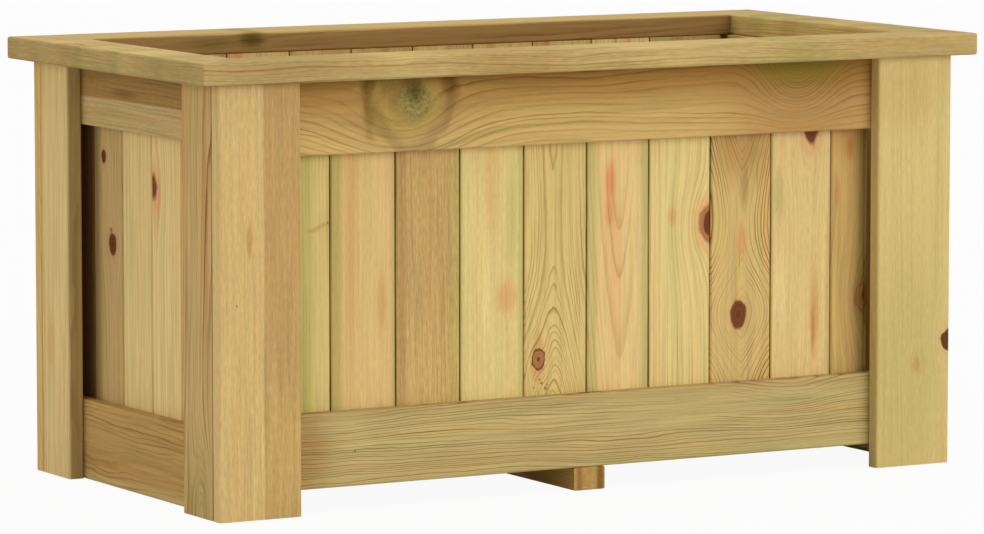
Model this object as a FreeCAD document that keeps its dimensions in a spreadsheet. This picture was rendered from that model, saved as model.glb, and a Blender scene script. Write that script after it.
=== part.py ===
import FreeCAD, Part
import os
import Sketcher

# A raised garden bed of planed softwood, 1 m long. Four L-shaped corner posts carry rails on all four
# sides, upright tongue-and-groove planks stand behind the rails, and a mitred rim lies on top.
# Frame: origin on the ground under the centre, +X along the bed, +Y to the back, +Z up, millimetres.

SIZES = {
    "bed_length": 1000,
    "bed_depth": 500,
    "bed_height": 500,
    "rim_width": 66,
    "rim_thickness": 25,
    "rim_edge_radius": 3,
    "rim_corner_radius": 4,
    "end_overhang": 26,
    "front_overhang": 16,
    "post_board_thickness": 18,
    "post_face_width": 100,
    "post_side_width": 72,
    "post_edge_radius": 3,
    "rail_thickness": 17,
    "rail_edge_radius": 2.5,
    "long_rail_height": 83,
    "short_bottom_rail_height": 91,
    "short_top_rail_height": 70,
    "plank_thickness": 14,
    "long_side_plank_count": 10,
    "first_long_plank": 101,
    "last_long_plank": 45,
    "short_side_plank_count": 5,
    "first_short_plank": 50,
    "last_short_plank": 106,
    "joint_gap": 1.6,
    "joint_chamfer": 1.5,
    "tongue_length": 6,
    "tongue_thickness": 4.5,
    "tongue_clearance": 0.3,
    "panel_lap": 4,
    "panel_clearance": 1,
    "corner_gap": 5,
    "batten_width": 40,
    "batten_height": 26,
    "ledger_width": 34,
    "ledger_height": 14,
    "floor_slat_count": 4,
    "slat_thickness": 15,
    "slat_gap": 8,
    "slat_clearance": 1,
    "slat_edge_radius": 2,
    "screw_head_radius": 4,
    "screw_head_height": 2.4,
    "screw_shank_radius": 2,
    "post_screw_length": 28,
    "floor_screw_length": 25,
    "screw_edge_distance": 20,
    "dowel_radius": 4,
    "dowel_depth": 16,
}

doc = FreeCAD.newDocument("RaisedBed")
sheet = doc.addObject("Spreadsheet::Sheet", "Sizes")
for row, (alias, value) in enumerate(SIZES.items(), start=1):
    sheet.set(f"A{row}", alias)
    sheet.set(f"B{row}", str(value))
    sheet.setAlias(f"B{row}", alias)
doc.recompute()

# Planes that several pieces share, as distances from the centre or from the ground
RIM_X = "(Sizes.bed_length / 2)"
RIM_Y = "(Sizes.bed_depth / 2)"
POST_TOP = "(Sizes.bed_height - Sizes.rim_thickness)"
POST_X = f"({RIM_X} - Sizes.end_overhang)"
POST_Y = f"({RIM_Y} - Sizes.front_overhang)"
RAIL_X = f"({POST_X} - Sizes.post_board_thickness)"
RAIL_Y = f"({POST_Y} - Sizes.post_board_thickness)"
PANEL_X = f"({RAIL_X} - Sizes.rail_thickness)"
PANEL_Y = f"({RAIL_Y} - Sizes.rail_thickness)"
INSIDE_X = f"({PANEL_X} - Sizes.plank_thickness)"
INSIDE_Y = f"({PANEL_Y} - Sizes.plank_thickness)"
FLOOR_LEVEL = "Sizes.batten_height"
SLAT_TOP = f"({FLOOR_LEVEL} + Sizes.slat_thickness)"

UPRIGHT = FreeCAD.Rotation()
ALONG_X = FreeCAD.Rotation(FreeCAD.Vector(1, 1, 1), 120)
ALONG_Y = FreeCAD.Rotation(FreeCAD.Vector(1, 1, 1), 240)


def turned(degrees):
    return FreeCAD.Rotation(FreeCAD.Vector(0, 0, 1), degrees)


def number(expression):
    return float(sheet.evalExpression(expression))


def put(piece, place, rotation=UPRIGHT):
    """Stands a piece at a place written in sizes from the sheet."""
    piece.Placement = FreeCAD.Placement(FreeCAD.Vector(), rotation)
    for axis, expression in zip("xyz", place):
        piece.setExpression(f"Placement.Base.{axis}", expression)


def new_body(label):
    body = doc.addObject("PartDesign::Body", label)
    body.Label = label
    return body


def prism(body, length, *outlines):
    """Pads closed outlines whose corners are held to the sheet, and returns the pad."""
    sketch = body.newObject("Sketcher::SketchObject", f"{body.Name}_outline")
    plane = next(part for part in body.Origin.OriginFeatures if part.Role == "XY_Plane")
    sketch.AttachmentSupport = [(plane, "")]
    sketch.MapMode = "FlatFace"
    for corners in outlines:
        draw_outline(sketch, corners)
    pad = body.newObject("PartDesign::Pad", f"{body.Name}_pad")
    pad.Profile = sketch
    pad.setExpression("Length", length)
    doc.recompute()
    return pad


def draw_outline(sketch, corners):
    """Draws one closed outline and holds each corner to its two expressions."""
    first = sketch.GeometryCount
    count = len(corners)
    spots = [FreeCAD.Vector(number(x), number(y), 0) for x, y in corners]
    for index in range(count):
        sketch.addGeometry(Part.LineSegment(spots[index], spots[(index + 1) % count]))
    for index in range(count):
        following = first + (index + 1) % count
        sketch.addConstraint(Sketcher.Constraint("Coincident", first + index, 2, following, 1))
    for index, (x, y) in enumerate(corners):
        hold(sketch, first + index, "DistanceX", x)
        hold(sketch, first + index, "DistanceY", y)


SKETCH_ORIGIN = (-1, 1)


def hold(sketch, line, kind, expression):
    """Holds the start of a line at a distance from the sketch's origin, across or up."""
    distance = Sketcher.Constraint(kind, *SKETCH_ORIGIN, line, 1, number(expression))
    held = sketch.addConstraint(distance)
    sketch.setExpression(f"Constraints[{held}]", expression)


def ease(body, feature, radius, wanted):
    """Rounds the edges of a feature that the test picks out."""
    names = [f"Edge{index}" for index, edge in enumerate(feature.Shape.Edges, start=1) if wanted(edge)]
    fillet = body.newObject("PartDesign::Fillet", f"{body.Name}_rounding")
    fillet.Base = (feature, names)
    fillet.setExpression("Radius", radius)
    doc.recompute()
    return fillet


def is_upright(edge):
    return abs(edge.tangentAt(edge.FirstParameter).z) > 0.99


def is_level(edge):
    return not is_upright(edge)


def board(label, place, width, thickness, length, radius, rotation):
    """One planed board with rounded long edges, its grain along its own Z."""
    body = new_body(label)
    corners = [("0", "0"), (width, "0"), (width, thickness), ("0", thickness)]
    pad = prism(body, length, corners)
    ease(body, pad, radius, is_upright)
    put(body, place, rotation)
    return body


def board_along_x(label, place, depth, height, length, radius):
    return board(label, place, depth, height, length, radius, ALONG_X)


def board_along_y(label, place, depth, height, length, radius):
    return board(label, place, height, depth, length, radius, ALONG_Y)


def bored(label, blank, fixings):
    """A board with the holes that its fixings sit in."""
    blank.Label = f"{label}_blank"
    cut = doc.addObject("Part::Cut", f"{label}_bored")
    cut.Base = blank
    cut.Tool = fixings
    cut.Label = label
    return cut


def group(label, pieces):
    compound = doc.addObject("Part::Compound", label)
    compound.Links = pieces
    compound.Label = label
    return compound


def copies(master, places, rotations):
    """Copies of one fixing, each a link with its own place."""
    linked = []
    for place, rotation in zip(places, rotations):
        link = doc.addObject("App::Link", f"{master.Name}_copy")
        link.LinkedObject = master
        put(link, place, rotation)
        linked.append(link)
    return linked


def signed(side, expression):
    return expression if side > 0 else f"-{expression}"


def low_side(side, plane, thickness):
    """Lower coordinate of a board that lies just inside a plane, on the side given by its sign."""
    return f"{plane} - {thickness}" if side > 0 else f"-{plane}"


SIDES = {"left": -1, "right": 1}
FACES = {"front": -1, "back": 1}
nodes = {}

# Fixings: countersunk wood screws driven from inside, and dowels that hold the rim to the post tops


def screw(name, length):
    """A countersunk screw along +Z, the top of its head at the origin."""
    head = doc.addObject("Part::Cone", f"{name}_head")
    head.setExpression("Radius1", "Sizes.screw_head_radius")
    head.setExpression("Radius2", "Sizes.screw_shank_radius")
    head.setExpression("Height", "Sizes.screw_head_height")
    shank = doc.addObject("Part::Cylinder", f"{name}_shank")
    shank.setExpression("Radius", "Sizes.screw_shank_radius")
    shank.setExpression("Height", f"{length} - Sizes.screw_head_height")
    shank.setExpression("Placement.Base.z", "Sizes.screw_head_height")
    whole = doc.addObject("Part::Fuse", name)
    whole.Base = head
    whole.Tool = shank
    return whole


LONG_RAIL_LEVELS = {
    "bottom": "Sizes.batten_height",
    "top": f"({POST_TOP} - Sizes.long_rail_height)",
}
SHORT_RAIL_LEVELS = {
    "bottom": "0",
    "top": f"({POST_TOP} - Sizes.short_top_rail_height)",
}
SHORT_RAIL_HEIGHTS = {
    "bottom": "Sizes.short_bottom_rail_height",
    "top": "Sizes.short_top_rail_height",
}
POST_INNER_X = f"({POST_X} - Sizes.post_face_width)"
POST_INNER_Y = f"({RAIL_Y} - Sizes.post_side_width)"
LONG_SCREW_X = f"(({POST_INNER_X} + {PANEL_X}) / 2)"
SHORT_SCREW_Y = f"(({POST_INNER_Y} + {PANEL_Y}) / 2)"
TOWARDS = {
    ("y", -1): FreeCAD.Rotation(FreeCAD.Vector(1, 0, 0), 90),
    ("y", 1): FreeCAD.Rotation(FreeCAD.Vector(1, 0, 0), -90),
    ("x", -1): FreeCAD.Rotation(FreeCAD.Vector(0, 1, 0), -90),
    ("x", 1): FreeCAD.Rotation(FreeCAD.Vector(0, 1, 0), 90),
}
DOWN = FreeCAD.Rotation(FreeCAD.Vector(1, 0, 0), 180)


def screw_levels(low, height):
    """Levels of the two screws that hold one rail end, the same distance from its two edges."""
    return (f"{low} + Sizes.screw_edge_distance", f"{low} + {height} - Sizes.screw_edge_distance")


post_screw_places = []
post_screw_turns = []
for along_x in SIDES.values():
    for along_y in FACES.values():
        for level in ("bottom", "top"):
            for z in screw_levels(LONG_RAIL_LEVELS[level], "Sizes.long_rail_height"):
                post_screw_places.append((signed(along_x, LONG_SCREW_X), signed(along_y, PANEL_Y), z))
                post_screw_turns.append(TOWARDS["y", along_y])
            for z in screw_levels(SHORT_RAIL_LEVELS[level], SHORT_RAIL_HEIGHTS[level]):
                post_screw_places.append((signed(along_x, PANEL_X), signed(along_y, SHORT_SCREW_Y), z))
                post_screw_turns.append(TOWARDS["x", along_x])
post_screw = screw("post_screw", "Sizes.post_screw_length")
nodes["post_screws"] = group("post_screws", copies(post_screw, post_screw_places, post_screw_turns))

# The floor slats share the clear depth between the planks, with drainage gaps between them
CLEAR_DEPTH = f"(2 * ({INSIDE_Y} - Sizes.slat_clearance))"
SLAT_WIDTH = f"(({CLEAR_DEPTH} - (Sizes.floor_slat_count - 1) * Sizes.slat_gap) / Sizes.floor_slat_count)"
SLAT_END = f"({INSIDE_X} - Sizes.slat_clearance)"
LEDGER_X = f"({PANEL_X} - Sizes.ledger_width)"
BEARING_X = f"(({LEDGER_X} + {SLAT_END}) / 2)"
slat_lows = []
floor_screw_places = []
for index in range(int(number("Sizes.floor_slat_count"))):
    low = f"(-{CLEAR_DEPTH} / 2 + {index} * ({SLAT_WIDTH} + Sizes.slat_gap))"
    slat_lows.append(low)
    for spot in (signed(-1, BEARING_X), "0", BEARING_X):
        floor_screw_places.append((spot, f"{low} + {SLAT_WIDTH} / 2", SLAT_TOP))
floor_screw = screw("floor_screw", "Sizes.floor_screw_length")
floor_screw_turns = [DOWN] * len(floor_screw_places)
nodes["floor_screws"] = group("floor_screws", copies(floor_screw, floor_screw_places, floor_screw_turns))

DOWEL_FACE_X = f"({POST_X} - Sizes.post_face_width / 2)"
DOWEL_FACE_Y = f"({POST_Y} - Sizes.post_board_thickness / 2)"
DOWEL_SIDE_X = f"({POST_X} - Sizes.post_board_thickness / 2)"
DOWEL_SIDE_Y = f"({RAIL_Y} - Sizes.post_side_width / 2)"
DOWEL_FOOT = f"{POST_TOP} - Sizes.dowel_depth"
dowel = doc.addObject("Part::Cylinder", "rim_dowel")
dowel.setExpression("Radius", "Sizes.dowel_radius")
dowel.setExpression("Height", "2 * Sizes.dowel_depth")
dowel_places = []
for along_x in SIDES.values():
    for along_y in FACES.values():
        dowel_places.append((signed(along_x, DOWEL_FACE_X), signed(along_y, DOWEL_FACE_Y), DOWEL_FOOT))
        dowel_places.append((signed(along_x, DOWEL_SIDE_X), signed(along_y, DOWEL_SIDE_Y), DOWEL_FOOT))
nodes["rim_dowels"] = group("rim_dowels", copies(dowel, dowel_places, [UPRIGHT] * len(dowel_places)))
post_fixings = group("post_fixings", [nodes["post_screws"], nodes["rim_dowels"]])

# Corner posts: a wide face board covers the edge of a narrower side board, both from ground to rim
for side, along_x in SIDES.items():
    for face, along_y in FACES.items():
        face_label = f"post_{face}_{side}_face"
        face_place = (
            low_side(along_x, POST_X, "Sizes.post_face_width"),
            low_side(along_y, POST_Y, "Sizes.post_board_thickness"),
            "0",
        )
        face_blank = board(
            face_label, face_place, "Sizes.post_face_width", "Sizes.post_board_thickness",
            POST_TOP, "Sizes.post_edge_radius", UPRIGHT,
        )
        nodes[face_label] = bored(face_label, face_blank, post_fixings)
        side_label = f"post_{face}_{side}_side"
        side_place = (
            low_side(along_x, POST_X, "Sizes.post_board_thickness"),
            low_side(along_y, RAIL_Y, "Sizes.post_side_width"),
            "0",
        )
        side_blank = board(
            side_label, side_place, "Sizes.post_board_thickness", "Sizes.post_side_width",
            POST_TOP, "Sizes.post_edge_radius", UPRIGHT,
        )
        nodes[side_label] = bored(side_label, side_blank, post_fixings)

# Rails: the long ones lie behind the face boards, the short ones butt between the long ones
for level in ("bottom", "top"):
    for face, along_y in FACES.items():
        label = f"rail_{face}_{level}"
        place = (f"-{RAIL_X}", low_side(along_y, RAIL_Y, "Sizes.rail_thickness"), LONG_RAIL_LEVELS[level])
        blank = board_along_x(
            label, place, "Sizes.rail_thickness", "Sizes.long_rail_height",
            f"2 * {RAIL_X}", "Sizes.rail_edge_radius",
        )
        nodes[label] = bored(label, blank, nodes["post_screws"])
    for side, along_x in SIDES.items():
        label = f"rail_{side}_{level}"
        place = (low_side(along_x, RAIL_X, "Sizes.rail_thickness"), f"-{PANEL_Y}", SHORT_RAIL_LEVELS[level])
        blank = board_along_y(
            label, place, "Sizes.rail_thickness", SHORT_RAIL_HEIGHTS[level],
            f"2 * {PANEL_Y}", "Sizes.rail_edge_radius",
        )
        nodes[label] = bored(label, blank, nodes["post_screws"])

# Floor: slats along the bed on a middle batten, which is also a foot, and on a ledger at each end
batten_blank = board_along_y(
    "centre_batten", ("-Sizes.batten_width / 2", f"-{RAIL_Y}", "0"), "Sizes.batten_width",
    "Sizes.batten_height", f"2 * {RAIL_Y}", "Sizes.slat_edge_radius",
)
nodes["centre_batten"] = bored("centre_batten", batten_blank, nodes["floor_screws"])
for side, along_x in SIDES.items():
    label = f"end_ledger_{side}"
    place = (
        low_side(along_x, PANEL_X, "Sizes.ledger_width"),
        f"-{PANEL_Y}",
        f"{FLOOR_LEVEL} - Sizes.ledger_height",
    )
    blank = board_along_y(
        label, place, "Sizes.ledger_width", "Sizes.ledger_height",
        f"2 * {PANEL_Y}", "Sizes.slat_edge_radius",
    )
    nodes[label] = bored(label, blank, nodes["floor_screws"])
for index, low in enumerate(slat_lows, start=1):
    label = f"floor_slat_{index}"
    blank = board_along_x(
        label, (f"-{SLAT_END}", low, FLOOR_LEVEL), SLAT_WIDTH, "Sizes.slat_thickness",
        f"2 * {SLAT_END}", "Sizes.slat_edge_radius",
    )
    nodes[label] = bored(label, blank, nodes["floor_screws"])

# Planks: a tongue on one edge, a groove on the other, and a V along each joint of the outer face
TONGUE_LOW = "((Sizes.plank_thickness - Sizes.tongue_thickness) / 2)"
TONGUE_HIGH = f"({TONGUE_LOW} + Sizes.tongue_thickness)"
GROOVE_LOW = f"({TONGUE_LOW} - Sizes.tongue_clearance)"
GROOVE_HIGH = f"({TONGUE_HIGH} + Sizes.tongue_clearance)"
GROOVE_DEPTH = "(Sizes.tongue_length + Sizes.tongue_clearance - Sizes.joint_gap)"


def plank_outline(width, grooved, tongued):
    """Section of a plank: outer face on the X axis, joint edges across it, inner face at its thickness."""
    chamfer = "Sizes.joint_chamfer"
    corners = [(chamfer, "0"), (f"{width} - {chamfer}", "0"), (width, chamfer)]
    if tongued:
        tip = f"{width} + Sizes.tongue_length"
        corners += [(width, TONGUE_LOW), (tip, TONGUE_LOW), (tip, TONGUE_HIGH), (width, TONGUE_HIGH)]
    corners += [(width, "Sizes.plank_thickness"), ("0", "Sizes.plank_thickness")]
    if grooved:
        corners += [("0", GROOVE_HIGH), (GROOVE_DEPTH, GROOVE_HIGH)]
        corners += [(GROOVE_DEPTH, GROOVE_LOW), ("0", GROOVE_LOW)]
    return corners + [("0", chamfer)]


def plank_panel(wall, widths, start, turn, last_tongued):
    """A row of planks; start gives a plank's place from the distance run along the row."""
    run = "0"
    for index, cover in enumerate(widths):
        last = index == len(widths) - 1
        width = cover if last else f"({cover} - Sizes.joint_gap)"
        label = f"plank_{wall}_{index + 1:02d}"
        body = new_body(label)
        outline = plank_outline(width, index > 0, last_tongued or not last)
        prism(body, f"{POST_TOP} - {FLOOR_LEVEL}", outline)
        put(body, start(run), turn)
        nodes[label] = body
        run = f"({run} + {cover})"


# A long panel starts at one corner and ends just behind the opposite post. A short panel starts at the
# long rail beside that end and stops short of the other long panel.
LONG_START = f"({INSIDE_X} - Sizes.corner_gap)"
LONG_END = f"({POST_INNER_X} + Sizes.panel_lap)"
SHORT_START = f"({PANEL_Y} - Sizes.panel_clearance)"
SHORT_END = f"({INSIDE_Y} - Sizes.corner_gap)"
LONG_COVER = (
    f"(({LONG_START} + {LONG_END} - Sizes.first_long_plank - Sizes.last_long_plank)"
    " / (Sizes.long_side_plank_count - 2))"
)
SHORT_COVER = (
    f"(({SHORT_START} + {SHORT_END} - Sizes.first_short_plank - Sizes.last_short_plank)"
    " / (Sizes.short_side_plank_count - 2))"
)
full_long_planks = int(number("Sizes.long_side_plank_count")) - 2
full_short_planks = int(number("Sizes.short_side_plank_count")) - 2
long_widths = ["Sizes.first_long_plank"] + [LONG_COVER] * full_long_planks + ["Sizes.last_long_plank"]
short_widths = ["Sizes.first_short_plank"] + [SHORT_COVER] * full_short_planks + ["Sizes.last_short_plank"]


def front_start(run):
    return (f"{run} - {LONG_START}", f"-{PANEL_Y}", FLOOR_LEVEL)


def back_start(run):
    return (f"{LONG_START} - {run}", PANEL_Y, FLOOR_LEVEL)


def left_start(run):
    return (f"-{PANEL_X}", f"{SHORT_START} - {run}", FLOOR_LEVEL)


def right_start(run):
    return (PANEL_X, f"{run} - {SHORT_START}", FLOOR_LEVEL)


plank_panel("front", long_widths, front_start, turned(0), True)
plank_panel("back", long_widths, back_start, turned(180), True)
plank_panel("left", short_widths, left_start, turned(-90), False)
plank_panel("right", short_widths, right_start, turned(90), False)

# Rim: one rounded frame, cut on the mitres of its four corners and bored for the dowels


def rectangle(low, length, depth):
    """Corners of a rectangle that starts at the same distance along both axes."""
    far_x = length if low == "0" else f"{low} + {length}"
    far_y = depth if low == "0" else f"{low} + {depth}"
    return [(low, low), (far_x, low), (far_x, far_y), (low, far_y)]


def is_outer_corner(edge):
    inset = number("Sizes.rim_width") / 2
    far = number("Sizes.bed_length") - inset
    return is_upright(edge) and not inset < edge.CenterOfMass.x < far


rim_frame = new_body("rim_frame")
frame_outline = rectangle("0", "Sizes.bed_length", "Sizes.bed_depth")
hole_length = "Sizes.bed_length - 2 * Sizes.rim_width"
hole_depth = "Sizes.bed_depth - 2 * Sizes.rim_width"
hole_outline = rectangle("Sizes.rim_width", hole_length, hole_depth)
frame_pad = prism(rim_frame, "Sizes.rim_thickness", frame_outline, hole_outline)
frame_plan = ease(rim_frame, frame_pad, "Sizes.rim_corner_radius", is_outer_corner)
ease(rim_frame, frame_plan, "Sizes.rim_edge_radius", is_level)
put(rim_frame, (f"-{RIM_X}", f"-{RIM_Y}", POST_TOP))

MITRE_REACH = "(Sizes.bed_depth / 2)"
long_wedge = [
    ("0", "0"), ("Sizes.bed_length", "0"),
    (f"Sizes.bed_length - {MITRE_REACH}", MITRE_REACH), (MITRE_REACH, MITRE_REACH),
]
short_wedge = [("0", "0"), ("Sizes.bed_depth", "0"), (MITRE_REACH, MITRE_REACH)]
RIM_PIECES = {
    "rim_front": (long_wedge, (f"-{RIM_X}", f"-{RIM_Y}", POST_TOP), turned(0)),
    "rim_right": (short_wedge, (RIM_X, f"-{RIM_Y}", POST_TOP), turned(90)),
    "rim_back": (long_wedge, (RIM_X, RIM_Y, POST_TOP), turned(180)),
    "rim_left": (short_wedge, (f"-{RIM_X}", RIM_Y, POST_TOP), turned(-90)),
}
for label, (corners, place, rotation) in RIM_PIECES.items():
    wedge = new_body(f"{label}_wedge")
    prism(wedge, "Sizes.rim_thickness", corners)
    put(wedge, place, rotation)
    piece = doc.addObject("Part::Common", f"{label}_mitred")
    piece.Base = rim_frame
    piece.Tool = wedge
    nodes[label] = bored(label, piece, nodes["rim_dowels"])

doc.recompute()

failed = [part.Label for part in doc.Objects if "Invalid" in part.State or "Error" in part.State]
for label, part in nodes.items():
    if part.Shape.isNull() or not part.Shape.isValid():
        failed.append(label)
if failed:
    raise RuntimeError(f"pieces that did not build: {failed}")

os.makedirs("parts", exist_ok=True)
for label, part in nodes.items():
    part.Shape.exportStep(f"parts/{label}.step")
print(len(nodes), "pieces written")
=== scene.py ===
import math
import random

import bpy
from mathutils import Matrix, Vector


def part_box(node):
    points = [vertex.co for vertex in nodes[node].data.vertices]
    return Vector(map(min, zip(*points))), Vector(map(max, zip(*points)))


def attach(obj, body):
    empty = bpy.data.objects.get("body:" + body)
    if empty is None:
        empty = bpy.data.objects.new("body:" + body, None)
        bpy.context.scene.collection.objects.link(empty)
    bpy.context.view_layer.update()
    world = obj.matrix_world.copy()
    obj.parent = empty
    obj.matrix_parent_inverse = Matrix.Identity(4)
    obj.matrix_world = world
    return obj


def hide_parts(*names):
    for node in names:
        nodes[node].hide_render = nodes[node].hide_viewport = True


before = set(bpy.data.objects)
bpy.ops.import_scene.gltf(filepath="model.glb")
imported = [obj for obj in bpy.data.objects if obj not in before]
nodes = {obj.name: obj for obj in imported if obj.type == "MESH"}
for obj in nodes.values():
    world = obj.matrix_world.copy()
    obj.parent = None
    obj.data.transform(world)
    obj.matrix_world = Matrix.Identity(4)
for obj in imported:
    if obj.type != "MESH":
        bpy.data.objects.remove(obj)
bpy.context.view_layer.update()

# Corner posts. Each post is an L of two planed pine boards, pressure treated so that the sapwood is
# yellow-green and the heartwood stays brown. The wide face board covers the edge of the side board, and
# both are screwed to the rails from inside. The pine that every board takes is set up here.
MM = 0.001
EAST = Vector((1, 0, 0))
NORTH = Vector((0, 1, 0))
UP = Vector((0, 0, 1))
OUTWARD = {"front": -NORTH, "back": NORTH, "left": -EAST, "right": EAST, "top": UP}


def shade(red, green, blue):
    """A colour written in screen values from 0 to 255, as the linear values that sockets take."""
    linear = []
    for value in (red, green, blue):
        share = value / 255
        linear.append(share / 12.92 if share <= 0.04045 else ((share + 0.055) / 1.055) ** 2.4)
    return (*linear, 1)


RED_KNOT = shade(110, 54, 26)
DARK_KNOT = shade(88, 46, 12)
PALE_KNOT = shade(162, 102, 64)
BARK = shade(62, 32, 10)
# The tints from here on multiply the colour of the wood. A factor over 1 makes it paler.
LATEWOOD = shade(180, 154, 112)
WARM_STREAK = shade(255, 236, 220)
COOL_STREAK = shade(228, 238, 212)
BLUSH = shade(252, 204, 198)
PINK = shade(252, 216, 214)
ORANGE = shade(244, 220, 208)
GREEN = shade(206, 224, 196)
BROWN = shade(224, 203, 190)
DULL = shade(226, 224, 220)
# The next tint is painted shade, for the joints between boards.
JOINT_PAINTED_SHADE = shade(118, 100, 84)
PALE = (1.12, 1.16, 1.14, 1)


class Pattern:
    """Adds nodes to one tree and gives back their outputs."""

    def __init__(self, tree):
        self.tree = tree

    def add(self, kind, sources, **settings):
        made = self.tree.nodes.new(kind)
        for name, value in settings.items():
            setattr(made, name, value)
        for slot, value in sources.items():
            if isinstance(value, bpy.types.NodeSocket):
                self.tree.links.new(value, made.inputs[slot])
            else:
                made.inputs[slot].default_value = value
        return made

    def group(self, tree, **sources):
        named = {label.replace("_", " ").title(): value for label, value in sources.items()}
        return self.add("ShaderNodeGroup", named, node_tree=tree).outputs

    def maths(self, operation, *values):
        return self.add("ShaderNodeMath", dict(enumerate(values)), operation=operation).outputs[0]

    def vectors(self, operation, *values, output="Vector"):
        return self.add("ShaderNodeVectorMath", dict(enumerate(values)), operation=operation).outputs[output]

    def scaled(self, vector, factor):
        return self.add("ShaderNodeVectorMath", {0: vector, "Scale": factor}, operation="SCALE").outputs[0]

    def noise(self, place, stretch, detail=2):
        sources = {"Vector": self.vectors("MULTIPLY", place, stretch), "Scale": 1, "Detail": detail}
        return self.add("ShaderNodeTexNoise", sources).outputs[0]

    def centred(self, value):
        return self.maths("SUBTRACT", value, 0.5)

    def rise(self, value, low, high):
        sources = {"Value": value, "From Min": low, "From Max": high}
        return self.add("ShaderNodeMapRange", sources, interpolation_type="SMOOTHSTEP").outputs[0]

    def blend(self, share, first, second, blend_type="MIX"):
        sources = {0: share, 6: first, 7: second}
        return self.add("ShaderNodeMix", sources, data_type="RGBA", blend_type=blend_type).outputs[2]

    def step(self, vector, axis):
        return self.add("ShaderNodeSeparateXYZ", {0: vector}).outputs[axis]


SOCKETS = {"vector": "NodeSocketVector", "value": "NodeSocketFloat", "colour": "NodeSocketColor"}


def new_group(name, takes, gives):
    """A shader group with named sockets: its pattern, its inputs by name, and how to give a result."""
    tree = bpy.data.node_groups.new(name, "ShaderNodeTree")
    for kind, labels in takes.items():
        for label in labels:
            tree.interface.new_socket(name=label, in_out="INPUT", socket_type=SOCKETS[kind])
    for kind, labels in gives.items():
        for label in labels:
            tree.interface.new_socket(name=label, in_out="OUTPUT", socket_type=SOCKETS[kind])
    entry = tree.nodes.new("NodeGroupInput")
    leaving = tree.nodes.new("NodeGroupOutput")

    def give(label, result):
        tree.links.new(result, leaving.inputs[label])

    return Pattern(tree), entry.outputs, give


def make_board_place():
    """Where a point lies on its board, in millimetres: along the grain, across the face, into the depth."""
    takes = {"vector": ("Centre", "Along", "Across", "Inward")}
    pattern, taken, give = new_group("board_place", takes, {"vector": ("Place",)})
    spot = pattern.add("ShaderNodeTexCoord", {}).outputs["Object"]
    offset = pattern.scaled(pattern.vectors("SUBTRACT", spot, taken["Centre"]), 1 / MM)
    steps = {}
    for slot, axis in enumerate(("Along", "Across", "Inward")):
        steps[slot] = pattern.vectors("DOT_PRODUCT", offset, taken[axis], output="Value")
    give("Place", pattern.add("ShaderNodeCombineXYZ", steps).outputs[0])
    return pattern.tree


# Reaches round a knot are counted in its half sizes, from 0 in its middle to 1 at its edge.
KNOT_LUMPS = (1.2, 1.2, 1.2)
LUMP_RISE = 0.5


def make_knot_flow():
    """Parts the grain round a knot, swells the rings over it, and measures how near a point is to it."""
    takes = {"vector": ("Place", "Shift", "Centre", "Half Size", "Flow"), "value": ("Parting", "Swell")}
    gives = {"vector": ("Shift",), "value": ("Swell", "Reach")}
    pattern, taken, give = new_group("knot_flow", takes, gives)
    offset = pattern.vectors("SUBTRACT", taken["Place"], taken["Centre"])
    flat = pattern.vectors("MULTIPLY", offset, (1, 1, 0))
    unit = pattern.vectors("DIVIDE", flat, taken["Half Size"])
    lumps = pattern.noise(pattern.vectors("ADD", unit, taken["Centre"]), KNOT_LUMPS, 1)
    ragged = pattern.maths("MULTIPLY_ADD", lumps, LUMP_RISE, 1 - LUMP_RISE / 2)
    give("Reach", pattern.maths("MULTIPLY", pattern.vectors("LENGTH", unit, output="Value"), ragged))
    spread = pattern.vectors("DIVIDE", unit, taken["Flow"])
    distance = pattern.vectors("DOT_PRODUCT", spread, spread, output="Value")
    near = pattern.maths("EXPONENT", pattern.maths("MULTIPLY", distance, -1))
    sideways = pattern.vectors("MULTIPLY", flat, (0, 1, 0))
    push = pattern.scaled(sideways, pattern.maths("MULTIPLY", near, taken["Parting"]))
    give("Shift", pattern.vectors("SUBTRACT", taken["Shift"], push))
    give("Swell", pattern.maths("MULTIPLY", near, taken["Swell"]))
    return pattern.tree


# How often each pattern changes in a millimetre along the grain, across the face and into the depth.
LONG_WAVES = (0.003, 0.014, 0.014)
SHORT_WAVES = (0.012, 0.05, 0.05)
RING_PATCHES = (0.005, 0.03, 0.03)
STREAKS = (0.0018, 0.08, 0.08)
FINE_FIBRES = (0.012, 1, 1)
BROAD_FIBRES = (0.009, 0.22, 0.22)
FLECKS = (0.09, 0.5, 0.5)
KNOT_SPECKS = (0.3, 0.3, 0.3)
# How far apart two boards lie in those patterns, how the rings wave and change from year to year, where in a
# year the late wood lies, how weak or faded a ring can be, and how the fibres spread.
SEED_STEP = (311, 173, 97)
LONG_WAVE_SHARE = 2
SHORT_WAVE_SHARE = 0.5
YEAR_CHANGE = 0.35
YEAR_SHIFT = 1.8
LATE_RISE = (0.45, 0.94)
LATE_END = (0.96, 1)
WEAKEST_RING = 0.4
FADED_RING = 0.15
FADE_RISE = (0.3, 0.62)
BROAD_SHARE = 2
FIBRE_SPREAD = 0.62
FIBRE_OFFSET = -0.43


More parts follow.
